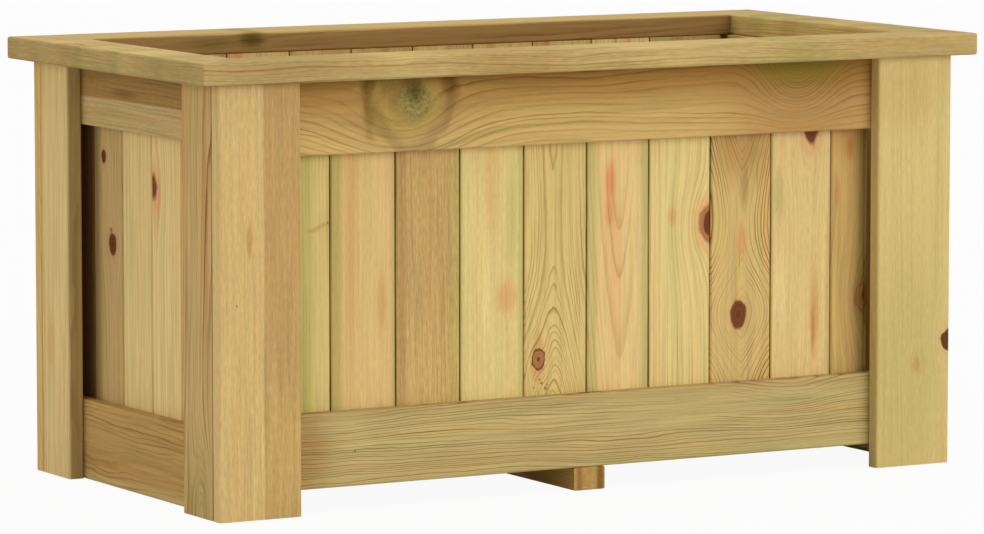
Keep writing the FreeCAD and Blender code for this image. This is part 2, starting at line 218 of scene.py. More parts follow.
def make_growth_rings():
    """Rings round a pith that runs beside the board, and the streaks and fibres that follow the grain."""
    takes = {"vector": ("Place", "Pith"), "value": ("Swell", "Taper", "Spacing", "Waver", "Seed")}
    gives = {"value": ("Late", "Streak", "Fibre", "Drift")}
    pattern, taken, give = new_group("growth_rings", takes, gives)
    place = taken["Place"]
    seeded = pattern.vectors("ADD", place, pattern.scaled(SEED_STEP, taken["Seed"]))
    long_wave = pattern.centred(pattern.noise(seeded, LONG_WAVES, 1))
    short_wave = pattern.centred(pattern.noise(seeded, SHORT_WAVES))
    wave = pattern.maths("MULTIPLY", long_wave, LONG_WAVE_SHARE)
    wave = pattern.maths("MULTIPLY_ADD", short_wave, SHORT_WAVE_SHARE, wave)
    section = pattern.vectors("MULTIPLY", place, (0, 1, 1))
    radius = pattern.vectors("DISTANCE", section, taken["Pith"], output="Value")
    radius = pattern.maths("MULTIPLY_ADD", pattern.step(place, "X"), taken["Taper"], radius)
    radius = pattern.maths("MULTIPLY_ADD", wave, taken["Waver"], radius)
    count = pattern.maths("DIVIDE", pattern.maths("ADD", radius, taken["Swell"]), taken["Spacing"])
    year = pattern.maths("MULTIPLY_ADD", count, YEAR_CHANGE, taken["Seed"])
    years = {"W": year, "Scale": 1, "Detail": 1}
    growth = pattern.add("ShaderNodeTexNoise", years, noise_dimensions="1D").outputs[0]
    count = pattern.maths("MULTIPLY_ADD", growth, YEAR_SHIFT, count)
    share = pattern.maths("FRACT", count)
    rising = pattern.maths("POWER", pattern.rise(share, *LATE_RISE), 2)
    late = pattern.maths("SUBTRACT", rising, pattern.rise(share, *LATE_END))
    ring = pattern.maths("ADD", pattern.maths("FLOOR", count), taken["Seed"])
    strength = pattern.add("ShaderNodeTexWhiteNoise", {"W": ring}, noise_dimensions="1D").outputs[0]
    strength = pattern.maths("MULTIPLY_ADD", strength, 1 - WEAKEST_RING, WEAKEST_RING)
    late = pattern.maths("MULTIPLY", late, strength)
    patch = pattern.rise(pattern.noise(seeded, RING_PATCHES, 1), *FADE_RISE)
    patch = pattern.maths("MULTIPLY_ADD", patch, 1 - FADED_RING, FADED_RING)
    give("Late", pattern.maths("MULTIPLY", late, patch))
    give("Streak", pattern.noise(seeded, STREAKS))
    fine = pattern.noise(seeded, FINE_FIBRES)
    broad = pattern.noise(seeded, BROAD_FIBRES)
    strands = pattern.maths("MULTIPLY_ADD", broad, BROAD_SHARE, fine)
    give("Fibre", pattern.maths("MULTIPLY_ADD", strands, FIBRE_SPREAD, FIBRE_OFFSET))
    give("Drift", long_wave)
    return pattern.tree


HEART_WANDER = 5
WARM_RISE = (0.5, 0.72)
COOL_RISE = (0.48, 0.26)
RING_RELIEF = 0.5
ROUGHNESS = 0.6
FIBRE_ROUGHNESS = 0.2


def make_pine_face():
    """Colour, height and roughness of planed pine from its rings, streaks and fibres."""
    takes = {
        "vector": ("Place",),
        "value": (
            "Late", "Streak", "Fibre", "Drift", "Heart Edge", "Heart Fade",
            "Ring Depth", "Streak Depth", "Fibre Depth", "Fleck",
        ),
        "colour": ("Sapwood", "Heartwood"),
    }
    gives = {"colour": ("Colour",), "value": ("Height", "Roughness")}
    pattern, taken, give = new_group("pine_face", takes, gives)
    across = pattern.step(taken["Place"], "Y")
    across = pattern.maths("MULTIPLY_ADD", taken["Drift"], HEART_WANDER, across)
    past = pattern.maths("SUBTRACT", across, taken["Heart Edge"])
    past = pattern.maths("DIVIDE", past, taken["Heart Fade"])
    colour = pattern.blend(pattern.rise(past, -1, 1), taken["Sapwood"], taken["Heartwood"])
    warm = pattern.maths("MULTIPLY", pattern.rise(taken["Streak"], *WARM_RISE), taken["Streak Depth"])
    colour = pattern.blend(warm, colour, WARM_STREAK, "MULTIPLY")
    cool = pattern.maths("MULTIPLY", pattern.rise(taken["Streak"], *COOL_RISE), taken["Streak Depth"])
    colour = pattern.blend(cool, colour, COOL_STREAK, "MULTIPLY")
    depth = pattern.maths("MULTIPLY", taken["Late"], taken["Ring Depth"])
    colour = pattern.blend(depth, colour, LATEWOOD, "MULTIPLY")
    flecks = pattern.centred(pattern.noise(taken["Place"], FLECKS, 4))
    strands = pattern.maths("MULTIPLY", pattern.centred(taken["Fibre"]), taken["Fibre Depth"])
    level = pattern.maths("MULTIPLY_ADD", flecks, taken["Fleck"], pattern.maths("ADD", strands, 1))
    give("Colour", pattern.scaled(colour, level))
    give("Height", pattern.maths("MULTIPLY_ADD", taken["Late"], RING_RELIEF, taken["Fibre"]))
    give("Roughness", pattern.maths("MULTIPLY_ADD", taken["Fibre"], FIBRE_ROUGHNESS, ROUGHNESS))
    return pattern.tree


STAIN_FRAY = 0.8
STAIN_RISE = (0.1, 0.95)


def make_stain():
    """Tints a soft patch of the pine, drawn out along its fibres."""
    takes = {
        "vector": ("Place", "Centre", "Half Size"),
        "colour": ("Colour", "Tint"),
        "value": ("Fibre", "Share"),
    }
    pattern, taken, give = new_group("stain", takes, {"colour": ("Colour",)})
    offset = pattern.vectors("SUBTRACT", taken["Place"], taken["Centre"])
    unit = pattern.vectors("DIVIDE", pattern.vectors("MULTIPLY", offset, (1, 1, 0)), taken["Half Size"])
    distance = pattern.vectors("DOT_PRODUCT", unit, unit, output="Value")
    near = pattern.maths("EXPONENT", pattern.maths("MULTIPLY", distance, -1))
    frayed = pattern.maths("MULTIPLY_ADD", pattern.centred(taken["Fibre"]), STAIN_FRAY, near)
    share = pattern.maths("MULTIPLY", pattern.rise(frayed, *STAIN_RISE), taken["Share"])
    give("Colour", pattern.blend(share, taken["Colour"], taken["Tint"], "MULTIPLY"))
    return pattern.tree


HALO_RISE = (2.2, 0.7)
RIPPLE_RATE = 19
RIPPLE_DEPTH = 0.12
CORE_REACH = 1.04
BARK_START = (0.74, 0.93)
BARK_END = (0.99, 1.1)
PITH_RISE = (0.3, 0.12)


def make_knot_face():
    """Colours a knot over the pine: a blush round it, its ringed core, and the dark bark at its edge."""
    takes = {
        "vector": ("Place",), "colour": ("Colour", "Core Colour"),
        "value": ("Reach", "Fibre", "Core", "Edge", "Bark", "Halo", "Mottle"),
    }
    pattern, taken, give = new_group("knot_face", takes, {"colour": ("Colour",)})
    reach = taken["Reach"]
    drawn = pattern.maths("MULTIPLY_ADD", taken["Fibre"], -1, pattern.maths("ADD", reach, 0.5))
    near = pattern.maths("MULTIPLY", pattern.rise(drawn, *HALO_RISE), taken["Halo"])
    colour = pattern.blend(near, taken["Colour"], BLUSH, "MULTIPLY")
    ripple = pattern.maths("SINE", pattern.maths("MULTIPLY", reach, RIPPLE_RATE))
    specks = pattern.centred(pattern.noise(taken["Place"], KNOT_SPECKS, 4))
    level = pattern.maths("MULTIPLY_ADD", ripple, RIPPLE_DEPTH, 1)
    level = pattern.maths("MULTIPLY_ADD", specks, taken["Mottle"], level)
    core = pattern.scaled(taken["Core Colour"], level)
    inward = pattern.maths("DIVIDE", pattern.maths("SUBTRACT", CORE_REACH, reach), taken["Edge"])
    inside = pattern.maths("MULTIPLY", pattern.rise(inward, 0, 1), taken["Core"])
    colour = pattern.blend(inside, colour, core)
    rim = pattern.maths("SUBTRACT", pattern.rise(reach, *BARK_START), pattern.rise(reach, *BARK_END))
    dark = pattern.maths("MAXIMUM", rim, pattern.rise(reach, *PITH_RISE))
    give("Colour", pattern.blend(pattern.maths("MULTIPLY", dark, taken["Bark"]), colour, BARK))
    return pattern.tree


BOARD_PLACE = make_board_place()
KNOT_FLOW = make_knot_flow()
GROWTH_RINGS = make_growth_rings()
PINE_FACE = make_pine_face()
STAIN = make_stain()
KNOT_FACE = make_knot_face()


def knot(along, across, half_length, half_width, core_colour=RED_KNOT, **changes):
    """A knot at a place on its board, in millimetres from the middle of the face."""
    made = {
        "centre": (along, across, 0), "half_size": (half_length, half_width, 1), "flow": (3, 2.2, 1),
        "parting": 0.9, "swell": 0, "core_colour": core_colour, "core": 0.95, "edge": 0.22, "bark": 0.3,
        "halo": 0.6, "mottle": 0.5,
    }
    made.update(changes)
    return made


def swirl(along, across, half_length, half_width, swell):
    """Rings that bulge round a place with no knot on the face."""
    plain = {"flow": (1, 1, 1), "parting": 0, "core": 0, "bark": 0, "halo": 0}
    return knot(along, across, half_length, half_width, swell=swell, **plain)


def speck(along, across, half_size=2.4):
    """A pin knot."""
    plain = {"core": 0.7, "edge": 0.9, "bark": 0, "halo": 0, "parting": 0}
    return knot(along, across, half_size, half_size, DARK_KNOT, **plain)


def stain(along, across, half_length, half_width, tint, share=0.8):
    """A soft patch of another colour."""
    half_size = (half_length, half_width, 1)
    return {"centre": (along, across, 0), "half_size": half_size, "tint": tint, "share": share}


WHOLE_LENGTH = 3000


def band(across, half_width, tint, share=0.8):
    """A strip of another colour along the whole board."""
    return stain(0, across, WHOLE_LENGTH, half_width, tint, share)


PINE_GLOSS = 0.07
RELIEF_STRENGTH = 0.25
RELIEF_DEPTH = 0.4 * MM


def pine(node, side, grain, sapwood, heartwood=None, knots=(), stains=(), **changes):
    """Gives one board its own pine, laid so that the grain runs along it and the given side is the face."""
    ways = {
        "heart_edge": 0, "heart_fade": 6, "pith": (0, 20, 60), "taper": 0.02, "spacing": 5, "waver": 8,
        "ring_depth": 0.5, "streak_depth": 0.5, "fibre_depth": 0.45, "fleck": 0.2,
        "seed": len(bpy.data.materials),
    }
    ways.update(changes)
    outward = OUTWARD[side]
    across = grain.cross(outward) if grain == UP else outward.cross(grain)
    low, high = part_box(node)
    centre = (low + high + outward * abs((high - low).dot(outward))) / 2

    material = bpy.data.materials.new(f"pine_{node}")
    material.use_nodes = True
    surface = material.node_tree.nodes["Principled BSDF"]
    surface.inputs["Specular IOR Level"].default_value = PINE_GLOSS
    pattern = Pattern(material.node_tree)
    place = pattern.group(BOARD_PLACE, centre=centre, along=grain, across=across, inward=-outward)["Place"]
    shift = (0, 0, 0)
    swell = 0
    reaches = []
    for mark in knots:
        shape = {label: mark[label] for label in ("centre", "half_size", "flow", "parting", "swell")}
        flow = pattern.group(KNOT_FLOW, place=place, shift=shift, **shape)
        shift = flow["Shift"]
        swell = pattern.maths("ADD", swell, flow["Swell"])
        reaches.append(flow["Reach"])
    parted = pattern.vectors("ADD", place, shift)
    log = {label: ways[label] for label in ("pith", "taper", "spacing", "waver", "seed")}
    rings = pattern.group(GROWTH_RINGS, place=parted, swell=swell, **log)
    depths = ("ring_depth", "streak_depth", "fibre_depth", "fleck")
    tone = {label: ways[label] for label in ("heart_edge", "heart_fade", *depths)}
    face = pattern.group(
        PINE_FACE, place=parted, late=rings["Late"], streak=rings["Streak"], fibre=rings["Fibre"],
        drift=rings["Drift"], sapwood=sapwood, heartwood=heartwood or sapwood, **tone,
    )
    colour = face["Colour"]
    for patch in stains:
        colour = pattern.group(STAIN, colour=colour, place=parted, fibre=rings["Fibre"], **patch)["Colour"]
    for mark, reach in zip(knots, reaches):
        look = {label: mark[label] for label in ("core_colour", "core", "edge", "bark", "halo", "mottle")}
        under = {"colour": colour, "place": place, "fibre": rings["Fibre"]}
        colour = pattern.group(KNOT_FACE, reach=reach, **under, **look)["Colour"]
    relief = {"Height": face["Height"], "Strength": RELIEF_STRENGTH, "Distance": RELIEF_DEPTH}
    material.node_tree.links.new(colour, surface.inputs["Base Color"])
    material.node_tree.links.new(face["Roughness"], surface.inputs["Roughness"])
    bump = pattern.add("ShaderNodeBump", relief).outputs[0]
    material.node_tree.links.new(bump, surface.inputs["Normal"])
    nodes[node].material_slots[0].material = material


pine(
    "post_front_left_face", "front", UP, shade(210, 179, 118), shade(190, 155, 97),
    heart_edge=4, heart_fade=1.5, pith=(0, -160, 30), taper=0.01, waver=4,
    ring_depth=0.2, streak_depth=0.4, fibre_depth=0.3, fleck=0.55, knots=[speck(-2, -29, 1.8)],
    stains=[stain(68, -13, 20, 4, BROWN), stain(-170, 30, 110, 40, PALE)],
)
# A dark band along its front edge, where it meets the face board, is painted shade.
pine(
    "post_front_left_side", "left", UP, shade(197, 165, 107), pith=(0, 40, 60), taper=0.03, ring_depth=1.1,
    streak_depth=0.8, knots=[swirl(-240, 12, 70, 22, 40)],
    stains=[
        stain(60, 22, 160, 7, BROWN, 0.6), stain(-230, 0, 80, 40, GREEN, 0.4), band(37, 2, JOINT_PAINTED_SHADE, 1),
    ],
)
pine(
    "post_front_right_face", "front", UP, shade(215, 190, 124), pith=(0, -140, 20), taper=0.01,
    waver=5, ring_depth=0.2, streak_depth=0.3, fibre_depth=0.25, fleck=0.35,
    knots=[
        knot(-94, 50, 13, 11, DARK_KNOT, halo=0.2, bark=0.8),
        knot(-120, 4, 8, 6, core=0.1, bark=0, halo=0.3),
    ],
    stains=[stain(-120, -10, 160, 60, GREEN, 0.35), stain(190, -20, 40, 60, BROWN, 0.3)],
)
# A dull band along its front edge, which faces into the recess beside the rails, is painted shade.
pine(
    "post_back_left_side", "left", UP, shade(214, 186, 125), pith=(0, -110, 20), taper=0.01, ring_depth=0.3,
    knots=[swirl(-220, 4, 90, 16, 16)],
    stains=[stain(-87, -12, 36, 9, PINK, 0.8), band(-34, 5, GREEN, 0.4), band(37, 3, DULL, 1)],
)

chance = random.Random(41)
TONES = (
    shade(219, 196, 124), shade(214, 184, 116), shade(206, 172, 106),
    shade(200, 178, 104), shade(192, 157, 96), shade(186, 162, 98),
)
TINTS = (GREEN, ORANGE, BROWN, PINK)
KNOT_COLOURS = (RED_KNOT, DARK_KNOT, PALE_KNOT)
KNOT_COUNTS = (0, 1, 1, 2)
# These are shares of a board's width or length, and a knot's stretch and swell are shares of its own width.
KNOT_WIDTHS = (0.06, 0.13)
KNOT_STRETCH = (1.1, 1.8)
KNOT_SWELL = (0, 2.5)
KNOT_SPREAD = (-0.42, 0.42)
BAND_WIDTHS = (0.06, 0.15)
BAND_SPREAD = (-0.5, 0.5)
HEART_SPREAD = (-0.45, 0.45)
PITH_PLACES = (-1.8, -0.1, 0.15, 1.6)
# These are in millimetres, apart from the slope of the log's taper and the depth of the rings.
PITH_DEPTHS = (15, 60)
HEART_FADES = (3, 12)
SPACINGS = (4, 7)
TAPERS = (-0.08, 0.08)
RING_DEPTHS = (0.25, 0.5)


def any_pine(node, side, grain, painted_shades=()):
    """Pine for a board that the view leaves free: its own tones, its own cut of the log, a knot or two."""
    low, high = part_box(node)
    size = (high - low) / MM
    length = abs(size.dot(grain))
    outward = OUTWARD[side]
    width = abs(size.dot(grain.cross(outward)))
    knots = []
    for _ in range(chance.choice(KNOT_COUNTS)):
        wide = width * chance.uniform(*KNOT_WIDTHS)
        along = length * chance.uniform(*KNOT_SPREAD)
        across = width * chance.uniform(*KNOT_SPREAD)
        colour = chance.choice(KNOT_COLOURS)
        swell = wide * chance.uniform(*KNOT_SWELL)
        long = wide * chance.uniform(*KNOT_STRETCH)
        knots.append(knot(along, across, long, wide, colour, swell=swell))
    strip = width * chance.uniform(*BAND_WIDTHS)
    stains = [band(width * chance.uniform(*BAND_SPREAD), strip, chance.choice(TINTS), 0.7), *painted_shades]
    pith = (0, width * chance.choice(PITH_PLACES), chance.uniform(*PITH_DEPTHS))
    pine(
        node, side, grain, chance.choice(TONES), chance.choice(TONES), knots, stains,
        heart_edge=width * chance.uniform(*HEART_SPREAD), heart_fade=chance.uniform(*HEART_FADES), pith=pith,
        taper=chance.uniform(*TAPERS), spacing=chance.uniform(*SPACINGS),
        ring_depth=chance.uniform(*RING_DEPTHS),
    )


for board, side in (
    ("post_front_right_side", "right"),
    ("post_back_left_face", "back"),
    ("post_back_right_face", "back"),
    ("post_back_right_side", "right"),
):
    any_pine(board, side, UP)

# Rails. Planed pine boards, a bottom and a top one on each side. The long ones lie behind the face boards
# of the posts, and the short ones butt between them, behind the side boards.
GREEN_KNOT = shade(178, 152, 76)
GREY_KNOT = shade(142, 132, 76)
MOSS_KNOT = shade(96, 84, 32)
MOSS = shade(168, 164, 104)
DARK = shade(188, 172, 150)
LEAF = (0.76, 1.14, 0.7, 1)
# Its upper part is darker brown: heartwood, and painted shade under the rim.
pine(
    "rail_front_top", "front", EAST, shade(206, 172, 108), shade(163, 124, 61),
    heart_edge=6, heart_fade=26, spacing=7.5, ring_depth=0.85, pith=(0, -90, 30), taper=0.01, waver=16,
    knots=[
        knot(
            -238, 11, 54, 42, GREEN_KNOT, core=0.45, edge=0.4, bark=0, halo=0, mottle=0.9,
            flow=(1.7, 1.5, 1), swell=20,
        ),
        knot(-240, 36, 50, 48, MOSS_KNOT, core=0.5, edge=0.9, bark=0, halo=0, mottle=1.5, parting=0),
        knot(-222, 12, 27, 27, GREY_KNOT, core=0.75, edge=0.6, bark=0, halo=0, mottle=1.8, parting=0),
        knot(-222, 24, 16, 20, MOSS_KNOT, core=0.85, edge=0.9, bark=0, halo=0, mottle=1.5, parting=0),
        knot(-228, 38, 56, 84, core=0, bark=0.25, halo=0, parting=0),
        speck(-222, 17),
        swirl(275, 50, 42, 58, 95),
    ],
    stains=[
        stain(-280, 20, 9, 28, MOSS, 0.8), stain(-262, 30, 6, 20, MOSS, 0.5),
        stain(-240, -28, 44, 12, PALE, 0.5),
        stain(-181, 26, 11, 20, DARK, 0.8), stain(275, 44, 70, 38, LEAF, 0.9),
        stain(285, -10, 110, 70, BROWN, 0.8),
    ],
)
pine(
    "rail_front_bottom", "front", EAST, shade(193, 172, 113), spacing=3.4, ring_depth=1.3,
    pith=(0, -150, 40), taper=0.01, waver=15, knots=[speck(-299, -3, 2), swirl(262, 24, 70, 36, 14)],
    stains=[
        stain(-298, 11, 22, 15, PALE, 0.6), stain(-365, 0, 40, 60, BROWN, 0.8), band(40, 10, BROWN, 0.3),
    ],
)
pine(
    "rail_left_top", "left", -NORTH, shade(190, 163, 108), shade(157, 122, 67),
    heart_edge=-2, heart_fade=1.2, ring_depth=0.45, pith=(0, -80, 30), fleck=0.4,
    stains=[stain(-35, 7, 34, 5, DARK, 0.6), stain(-60, -22, 60, 16, GREEN, 0.3)],
)
pine(
    "rail_left_bottom", "left", -NORTH, shade(195, 164, 101), shade(181, 144, 85),
    heart_edge=-34, heart_fade=8, spacing=6, ring_depth=0.95, pith=(0, -70, 20), waver=24,
)
for board, side, grain in (
    ("rail_back_top", "back", -EAST),
    ("rail_back_bottom", "back", -EAST),
    ("rail_right_top", "right", NORTH),
    ("rail_right_bottom", "right", NORTH),
):
    any_pine(board, side, grain)

# Planks. Upright tongue-and-groove pine with a V along each joint, ten on each long side and five on each
# short one. They stand behind the rails and are stapled to them from inside.
FRONT_PLANKS = (
    dict(
        sapwood=shade(214, 191, 119), pith=(0, 150, 30), taper=0, waver=3, ring_depth=0.4,
        knots=[speck(66, 44, 1.8)],
        stains=[
            band(16, 10, GREEN, 0.5), stain(64, 40, 2.5, 7, BROWN, 0.6), stain(61, 33, 2.5, 7, BROWN, 0.6),
            stain(58, 26, 2.5, 7, BROWN, 0.6),
        ],
    ),
    dict(
        sapwood=shade(221, 188, 124), pith=(0, -120, 30), taper=0, waver=3, ring_depth=0.2,
        streak_depth=0.35, fibre_depth=0.3, fleck=0.3,
        stains=[
            band(-38, 10, GREEN, 0.8), stain(60, -18, 220, 8, ORANGE, 0.6), band(36, 5, GREEN, 0.6),
            stain(-26, 20, 36, 7, ORANGE),
        ],
    ),
    dict(
        sapwood=shade(197, 163, 103), heartwood=shade(191, 169, 101), heart_edge=27, heart_fade=4,
        pith=(0, -110, 50), ring_depth=0.35, fleck=0.65, streak_depth=0.3,
        stains=[stain(-150, 0, 110, 50, PALE), band(-36, 6, BROWN, 0.5)],
    ),
    dict(
        sapwood=shade(224, 200, 132), pith=(0, 110, 30), taper=0, waver=4, ring_depth=0.15,
        streak_depth=0.3, fibre_depth=0.28, fleck=0.35,
        stains=[
            stain(-29, 14, 22, 15, PINK, 0.9), stain(100, -4, 80, 12, ORANGE, 0.6), band(34, 4, GREEN, 0.6),
            stain(0, -12, 110, 9, PALE, 0.4), stain(60, 22, 70, 8, GREEN, 0.4),
        ],
    ),
    dict(
        sapwood=shade(218, 191, 122), pith=(0, -8, 8), taper=0.02, ring_depth=0.9, waver=14, spacing=4.4,
        knots=[
            knot(-101, -25, 12, 8.5, PALE_KNOT, core=0.85, bark=0.75, halo=0.25, flow=(2.4, 2, 1)),
            swirl(-185, -8, 110, 60, -60),
            speck(-124, -24, 2), speck(-128, -21), speck(-134, -16, 3),
            speck(-130, -14, 1.6), speck(-133, -31, 1.6),
        ],
        stains=[stain(-80, -25, 16, 3.5, BLUSH, 0.5), stain(-118, -25, 12, 4, BLUSH, 0.5)],
    ),
    dict(
        sapwood=shade(229, 198, 134), pith=(0, -1, 14), taper=0, spacing=8, ring_depth=0.5, waver=5,
        knots=[swirl(126, 0, 230, 120, -34)],
        stains=[
            stain(95, -13, 24, 8, BLUSH, 1), stain(60, -14, 20, 7, BLUSH, 0.8), band(-38, 9, GREEN, 0.6),
            band(34, 8, GREEN, 0.75), stain(20, -10, 110, 14, PINK, 0.4),
        ],
    ),
    dict(
        sapwood=shade(226, 202, 134), pith=(0, -120, 20), taper=0.01, ring_depth=0.5, waver=3, spacing=5,
        knots=[
            knot(40, 36, 21, 14, PALE_KNOT, core=0.8, halo=0.7, flow=(2.4, 2.4, 1), swell=12, bark=0.2),
            knot(42, 37, 14, 8, RED_KNOT, halo=0.2, parting=0, bark=0.5),
        ],
        stains=[stain(51, -8, 13, 8, PINK, 0.9)],
    ),
    dict(
        sapwood=shade(212, 182, 116), pith=(0, -2, 2), taper=0, ring_depth=1.7, spacing=6, waver=15,
        knots=[
            knot(-66, -6, 17, 11, RED_KNOT, halo=0.25, parting=0.3, flow=(3.5, 12, 1), swell=-46),
            swirl(200, 0, 100, 70, -52),
        ],
        stains=[
            stain(17, -2, 22, 8, PINK, 0.7), stain(80, 2, 30, 6, DARK, 0.5),
            stain(130, 0, 50, 50, BROWN, 0.8),
        ],
    ),
    dict(
        sapwood=shade(224, 194, 131), pith=(0, -130, 30), taper=0, ring_depth=0.16, fleck=0.4,
        streak_depth=0.4, fibre_depth=0.3,
        knots=[knot(152, 10, 28, 11, RED_KNOT, halo=0.6)],
        stains=[
            stain(-69, 15, 56, 7, ORANGE, 1), stain(-85, 14, 26, 2.5, BROWN, 0.8),
            stain(70, -33, 34, 8, GREEN, 0.6), stain(-45, -30, 50, 12, PALE, 0.6), band(36, 5, GREEN, 0.5),
        ],
    ),
    # The last plank: the pale band on its bare tongue is painted light.
    dict(
        sapwood=shade(207, 171, 105), pith=(0, -90, 20), ring_depth=0.5, taper=0, waver=4,
        knots=[
            knot(-55, 17, 16, 10, PALE_KNOT, core=0.5, edge=0.5, bark=0.3),
            knot(-52, 20, 9, 2.4, BARK, halo=0.2),
            swirl(-50, 34, 80, 50, 36),
        ],
        stains=[
            stain(119, -1, 14, 5, BLUSH, 0.8), stain(68, -18, 24, 4, BLUSH, 0.7), band(17, 6, GREEN, 0.6),
            stain(150, 0, 40, 40, BROWN, 0.6), band(24, 3, PALE, 1),
        ],
    ),
)

GROOVE_OFFSET = 0.7
GROOVE_SHADE = 1
TONGUE_OFFSET = 2.1
TONGUE_SHADE = 2.4


def painted_joint_shades(node):
    """Painted shade in a plank's joints: on its groove's wall at one edge and on its tongue at the other."""
    low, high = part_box(node)
    half = max((high - low).x, (high - low).y) / MM / 2
    return [
        band(-half - GROOVE_OFFSET, GROOVE_SHADE, JOINT_PAINTED_SHADE, 1),
        band(half - TONGUE_OFFSET, TONGUE_SHADE, JOINT_PAINTED_SHADE, 1),
    ]


# The tongue of the last front plank is bare, so it gets no painted joint shade; its pale band is painted
# light.
for number, look in enumerate(FRONT_PLANKS, start=1):
    plank = f"plank_front_{number:02d}"
    painted_shades = painted_joint_shades(plank) if number < len(FRONT_PLANKS) else []
    pine(plank, "front", UP, stains=look.pop("stains") + painted_shades, **look)
LEFT_PLANKS = (
    # The first plank lies in the crevice behind the back post; its dark colour is painted shade.
    dict(sapwood=shade(129, 94, 56), ring_depth=0.3),
    dict(
        sapwood=shade(192, 160, 104), pith=(0, -110, 30), ring_depth=0.5,
        knots=[
            knot(21, 8, 13, 10, DARK_KNOT, halo=0.4), knot(119, -14, 8, 6, DARK_KNOT, halo=0.3),
            knot(37, 4, 2.5, 4, core=0.6, bark=0, halo=0),
        ],
        stains=[band(-28, 8, GREEN, 0.5)],
    ),
    dict(sapwood=shade(218, 191, 127), pith=(0, 110, 40), taper=0, waver=4, ring_depth=0.4),
    dict(
        sapwood=shade(225, 197, 132), pith=(0, -90, 30), ring_depth=0.4,
        knots=[knot(95, -37, 16, 12, RED_KNOT, halo=0.5, edge=0.4)],
        stains=[stain(80, -32, 36, 8, PINK, 0.6)],
    ),
    dict(sapwood=shade(206, 172, 106), ring_depth=0.3),
)
for number, look in enumerate(LEFT_PLANKS, start=1):
    plank = f"plank_left_{number:02d}"
    pine(plank, "left", UP, stains=look.pop("stains", []) + painted_joint_shades(plank), **look)
# One plank of the right end, seen through the gap at the front right corner, is painted dark brown all over
# as painted shade.
PAINTED_SHADE_PLANK = 2
for wall, count in (("back", len(FRONT_PLANKS)), ("right", len(LEFT_PLANKS))):
    for number in range(1, count + 1):
        if (wall, number) != ("right", PAINTED_SHADE_PLANK):
            plank = f"plank_{wall}_{number:02d}"
            any_pine(plank, wall, UP, painted_joint_shades(plank))
pine(f"plank_right_{PAINTED_SHADE_PLANK:02d}", "right", UP, shade(128, 96, 56), ring_depth=0.4)

# Floor. Four planed slats along the bed, with gaps that let water out, on a middle batten that is also a
# foot and on a ledger at each end.
SLAT_COUNT = 4
SLATS = [f"floor_slat_{number}" for number in range(1, SLAT_COUNT + 1)]
for slat in SLATS:
    any_pine(slat, "top", EAST)
RUST = shade(206, 150, 126)
pine(
    "centre_batten", "top", NORTH, shade(208, 170, 100), spacing=4, ring_depth=0.5, pith=(0, 5, 40),
    stains=[
        stain(-216, 13, 20, 4, RUST, 0.6), stain(-216, -14, 20, 5, DARK, 1), stain(-220, 0, 14, 60, DULL, 1),
    ],
)
for side in ("left", "right"):
    any_pine(f"end_ledger_{side}", "top", NORTH)

# Screws and staples. Zinc-plated screws with a countersunk head and a cross in it hold the rails to the
# post boards from inside and the slats to what they lie on. Staples hold the planks to the rails. Each kind
# is one shape set on many points and turned to face out of the wood.
ZINC_BRIGHT = shade(206, 204, 190)
ZINC_DULL = shade(158, 156, 146)
ZINC_SPOTS = (900, 900, 900)
ZINC_RISE = (0.35, 0.65)
ZINC_ROUGHNESS = 0.3
DULL_ROUGHNESS = 0.25
zinc = bpy.data.materials.new("zinc_plated_steel")
zinc.use_nodes = True
surface = zinc.node_tree.nodes["Principled BSDF"]
surface.inputs["Metallic"].default_value = 1
pattern = Pattern(zinc.node_tree)
spot = pattern.add("ShaderNodeTexCoord", {}).outputs["Object"]
dulled = pattern.rise(pattern.noise(spot, ZINC_SPOTS, 3), *ZINC_RISE)
zinc_colour = pattern.blend(dulled, ZINC_BRIGHT, ZINC_DULL)
zinc_roughness = pattern.maths("MULTIPLY_ADD", dulled, DULL_ROUGHNESS, ZINC_ROUGHNESS)
zinc.node_tree.links.new(zinc_colour, surface.inputs["Base Color"])
zinc.node_tree.links.new(zinc_roughness, surface.inputs["Roughness"])


def point_tree(name, *labels):
    """A geometry tree that takes points, lengths and a metal: its pattern and its inputs by name."""
    tree = bpy.data.node_groups.new(name, "GeometryNodeTree")
    tree.interface.new_socket(name="Points", in_out="INPUT", socket_type="NodeSocketGeometry")
    for label in labels:
        tree.interface.new_socket(name=label, in_out="INPUT", socket_type="NodeSocketFloat")
    tree.interface.new_socket(name="Metal", in_out="INPUT", socket_type="NodeSocketMaterial")
    tree.interface.new_socket(name="Pieces", in_out="OUTPUT", socket_type="NodeSocketGeometry")
    return Pattern(tree), tree.nodes.new("NodeGroupInput").outputs


def moved(pattern, shape, height, turn=0):
    """A shape lifted along its own length and turned round it."""
    lift = pattern.add("ShaderNodeCombineXYZ", {"Z": height}).outputs[0]
    way = {"Geometry": shape, "Translation": lift, "Rotation": (0, 0, turn)}
    return pattern.add("GeometryNodeTransform", way).outputs[0]


def joined(pattern, *shapes):
    """Several shapes as one."""
    join = pattern.add("GeometryNodeJoinGeometry", {})
    for shape in shapes:
        pattern.tree.links.new(shape, join.inputs[0])
    return join.outputs[0]


SPIN_SEED = 7


